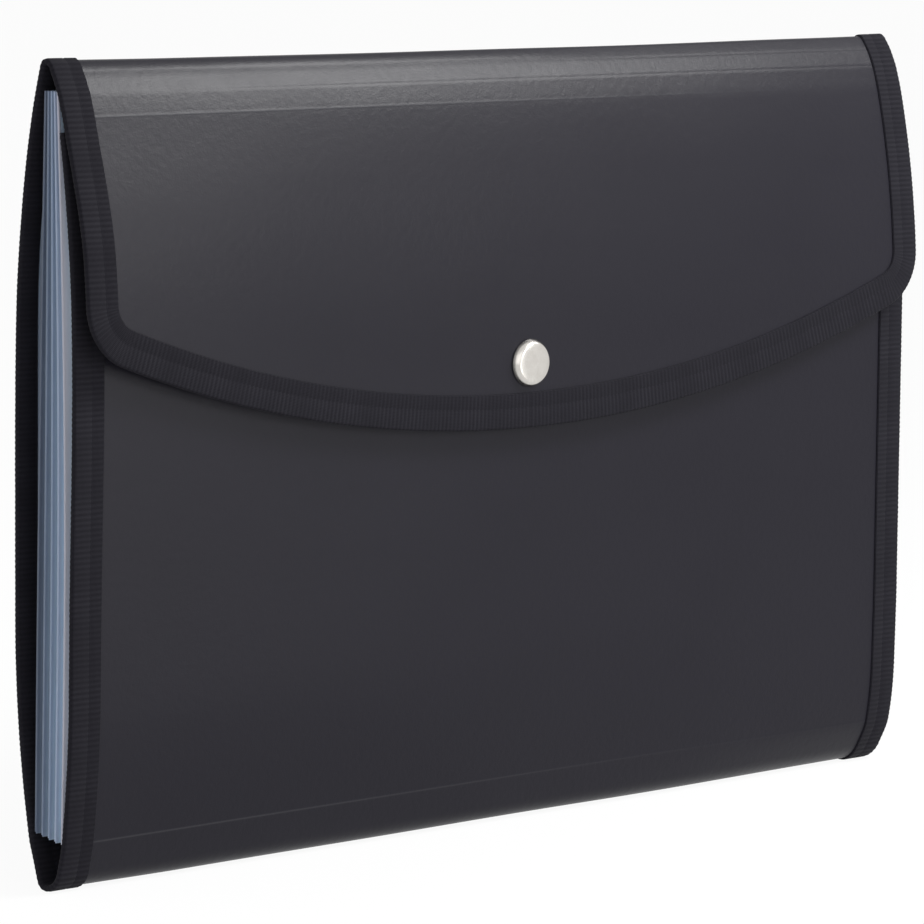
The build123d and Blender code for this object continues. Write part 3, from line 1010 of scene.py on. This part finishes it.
def build_dividers():
    """Five sheets of film with a bead along the sides where the gussets are welded on."""
    rim = np.array(divider_rim)
    middle = np.linspace(-1, 1, divider_columns) * (film_half - 2 * rim[-1])
    x = np.concatenate([-film_half + rim, middle, film_half - rim[::-1]])
    from_edge = film_half - np.abs(x)
    across_bead = np.clip(from_edge / bead_width, 0, 1)
    half = np.maximum(film / 2, weld_bead * 2 * np.sqrt(across_bead * (1 - across_bead)))
    for index in range(1, pocket_count):
        z = np.linspace(film_low(index), pocket_top_z, film_rows)
        across, up = np.meshgrid(x, z)
        y = film_y(index, up)
        points, faces = slab(
            np.stack([across, y - half, up], axis=-1),
            np.stack([across, y + half, up], axis=-1),
        )
        # Painted shade: a divider's face darkens away from its edges, and its edges are lighter the further
        # forward it lies
        towards_edge = on_both_faces(ease(from_edge, *face_shade_fade), across)
        marks = {
            "ridge": on_both_faces(ease(from_edge, *ridge_fade), across),
            "front": film_share(index) * towards_edge,
        }
        name = f"divider_{index}"
        divider = add_piece(f"film_{name}", points, faces, film_finish, marks)
        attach(divider, film_bodies[index])
        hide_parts(name)


def build_pocket_floor():
    """Pleated floor of the pockets: a ridge just under each divider and its rear end on the back."""
    ridges = [(film_y(i, film_low(i)), film_low(i) - floor_gap) for i in range(1, pocket_count)]
    seat = back_at(ridges[0][1]) - sheet / 2 - film_gap - leaf
    pleats = [(seat, ridges[0][1])]
    for before, after in zip(ridges, ridges[1:]):
        valley = ((before[0] + after[0]) / 2, min(before[1], after[1]) - floor_rise)
        pleats += [before, valley]
    pleats.append(ridges[-1])
    x = np.linspace(-1, 1, divider_columns) * (half_width - tape_face - pocket_inset)
    y, z = np.array(pleats).T
    grid = [np.broadcast_to(part, (len(y), len(x))) for part in (x, y[:, None], z[:, None])]
    top = np.stack(grid, axis=-1)
    points, faces = slab(top, top - (0, 0, 2 * leaf))
    # The pocket floor takes the lighter painted copy of the folds, halfway along the painted shade from
    # rear to front
    marks = {"ridge": np.zeros(len(points)), "front": np.full(len(points), floor_shade_share)}
    floor = add_piece("film_pocket_floor", points, faces, film_finish, marks)
    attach(floor, "back_cover")
    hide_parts("pocket_floor")


def along_edge(start, end, parts):
    """Points on the way from start to end, at shares of it."""
    return [np.array(start) + (np.array(end) - np.array(start)) * part for part in parts]


def fold_plan(index, z):
    """Corners of a folded gusset in plan at a height, at the right side."""
    rear = film_y(index - 1, z) - film / 2
    front = film_y(index, z) + film / 2
    middle = (rear + front) / 2
    valley = film_half - pleat_depth
    return [
        *along_edge((film_half, rear), (valley, middle + leaf), leaf_parts),
        (valley, middle + leaf),
        *along_edge((valley, middle - leaf), (film_half, front), leaf_parts_back),
        (film_half, front),
        *along_edge((film_half, front + leaf), (valley + pleat_fold, middle), leaf_parts),
        *along_edge((valley + pleat_fold, middle), (film_half, rear - leaf), leaf_parts_back),
        (film_half, rear - leaf),
    ]


def leaf_plan(index, z):
    """Corners of the single leaf between an end divider and its cover, at the right side."""
    if index == 1:
        towards, edge_y, tab_y = 1, film_y(1, z), back_at(z) - wrap
    else:
        towards, edge_y, tab_y = -1, film_y(index - 1, z), front_at(z) + wrap
    edge_y += towards * film / 2
    tab_y -= towards * film_gap
    weld = half_width - weld_inset
    thick = towards * leaf
    return [
        *along_edge((film_half, edge_y + thick), (weld, tab_y), leaf_parts),
        (weld, tab_y),
        (weld - weld_tab, tab_y),
        (weld - weld_tab, tab_y - thick),
        *along_edge((weld, tab_y - thick), (film_half, edge_y), leaf_parts_back),
        (film_half, edge_y),
    ]


def build_gussets():
    """The accordion's pleats at both sides: folds between dividers and a leaf to each cover."""
    for index in range(1, pocket_count + 1):
        inner = 1 < index < pocket_count
        plan = fold_plan if inner else leaf_plan
        low = film_low(min(index, pocket_count - 1))
        top = pocket_top_z if index < pocket_count else front_top_z - edge
        heights = np.linspace(low, top, film_rows)
        rings = np.array([[(x, y, z) for x, y in plan(index, z)] for z in heights])
        rows, columns = rings.shape[:2]
        rear = film_y(index - 1, heights) if index > 1 else back_at(heights) - wrap
        front = film_y(index, heights) if index < pocket_count else front_at(heights) + wrap
        between = np.clip((rear[:, None] - rings[..., 1]) / (rear - front)[:, None], 0, 1)
        share = (index - 1 + between) / index
        # Painted shade: darker towards the rear of the stack; away from the ridges, the pleats' folds take
        # the lighter painted copy
        marks = {
            "ridge": ease(film_half - rings[..., 0], *ridge_fade),
            "front": np.clip((index - 2 + between) / (pocket_count - 2), 0, 1),
        }
        faces = tube(rows, columns)
        for side, word in ((-1, "left"), (1, "right")):
            name = f"gusset_{word}_{index}"
            points = rings * (side, 1, 1)
            gusset = add_piece(f"film_{name}", points, faces, film_finish, marks)
            hinge(gusset, share)
            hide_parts(name)


def build_snap_cap():
    """The cap: a faintly crowned bright face with a rounded shoulder, turned about the snap's axis."""
    face = np.arange(1, cap_face_rings) / cap_face_rings
    crown = np.column_stack([cap_flat_radius * face, cap_height + cap_crown * (1 - face**2)])
    radii, rises = np.concatenate([crown, cap_shoulder, cap_side, cap_foot]).T
    turn = np.arange(cap_sides) * 2 * pi / cap_sides
    flap_outer_y = flap_y - sheet / 2
    rings = np.stack([
        radii[:, None] * np.cos(turn),
        np.repeat(flap_outer_y - rises[:, None], cap_sides, axis=1),
        snap_z + radii[:, None] * np.sin(turn),
    ], axis=-1)
    centre = rings.shape[0] * cap_sides
    points = np.concatenate([rings.reshape(-1, 3), [(0, flap_outer_y - cap_height - cap_crown, snap_z)]])
    faces = quads(len(radii), cap_sides, ring=True)
    faces += [(centre, (i + 1) % cap_sides, i) for i in range(cap_sides)]
    faces.append(tuple(range(centre - cap_sides, centre)))
    cap = add_piece("bright_cap", points, faces, metal_finish)
    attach(cap, "flap")
    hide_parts("snap_cap")


def dress_snap():
    """Finish of the snap's inner pieces, which keep their construction's shape."""
    for node in ("snap_socket", "snap_spring", "snap_stud", "snap_rivet"):
        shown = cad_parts[node]
        shown.data.materials.clear()
        shown.data.materials.append(metal_finish)


def build_floor():
    """A pale floor that keeps the folder's shadow."""
    mesh = bpy.data.meshes.new("studio_floor")
    corners = [(floor_reach * x, floor_reach * y, 0) for x, y in ((-1, -1), (1, -1), (1, 1), (-1, 1))]
    mesh.from_pydata(corners, [], [(0, 1, 2, 3)])
    floor = bpy.data.objects.new("studio_floor", mesh)
    bpy.context.collection.objects.link(floor)
    paper = Finish("pale_floor")
    paper.set({"Base Color": floor_colour, "Roughness": 0.9})
    glow = paper.node("ShaderNodeEmission", None, {"Color": white, "Strength": 1.0})
    matt = Value(paper, paper.shader.outputs[0])
    share = paper.background_seen() * floor_white
    mixed = paper.node("ShaderNodeMixShader", None, {0: share, 1: matt, 2: glow})
    paper.feed(paper.tree.nodes["Material Output"].inputs["Surface"], mixed)
    mesh.materials.append(paper.material)


def build_room():
    """White surroundings, a little dimmer as light than as a background."""
    world = bpy.data.worlds.new("white_surroundings")
    bpy.context.scene.world = world
    world.use_nodes = True
    room = Nodes(world.node_tree)
    back = room.tree.nodes["Background"]
    room.feed(back.inputs["Color"], white)
    room.feed(back.inputs["Strength"], room_strength + room.background_seen() * (1 - room_strength))


def hang_lamps():
    """Soft boxes round the folder."""
    for name, place, aim, size, power in lamps:
        data = bpy.data.lights.new(name, "AREA")
        data.shape = "RECTANGLE"
        data.size, data.size_y = size
        data.energy = power
        lamp = bpy.data.objects.new(name, data)
        lamp.visible_camera = False
        bpy.context.collection.objects.link(lamp)
        turned = (Vector(place) - Vector(aim)).to_track_quat("Z", "Y").to_matrix().to_4x4()
        lamp.matrix_world = Matrix.Translation(place) @ turned


def place_camera():
    """The camera at the photograph's viewing angle."""
    data = bpy.data.cameras.new("camera")
    data.lens = camera_lens
    camera = bpy.data.objects.new("camera", data)
    bpy.context.collection.objects.link(camera)
    turn, dip, tip = radians(camera_turn), radians(camera_dip), radians(camera_tip)
    ahead = Vector((sin(turn) * cos(dip), cos(turn) * cos(dip), -sin(dip)))
    aside = Vector((cos(turn), -sin(turn), 0))
    above = aside.cross(ahead)
    right = aside * cos(tip) + above * sin(tip)
    up = above * cos(tip) - aside * sin(tip)
    turned = Matrix((right, up, -ahead)).transposed().to_4x4()
    camera.matrix_world = Matrix.Translation(Vector(camera_place) * mm) @ turned
    bpy.context.scene.camera = camera


cover_finish = satin_cover()
tape_finish = ribbed_tape()
film_finish = frosted_film()
metal_finish = bright_metal()

build_cover()
build_tape()
build_dividers()
build_pocket_floor()
build_gussets()
build_snap_cap()
dress_snap()
build_floor()
build_room()
hang_lamps()
place_camera()
bpy.context.scene.view_settings.view_transform = "Standard"
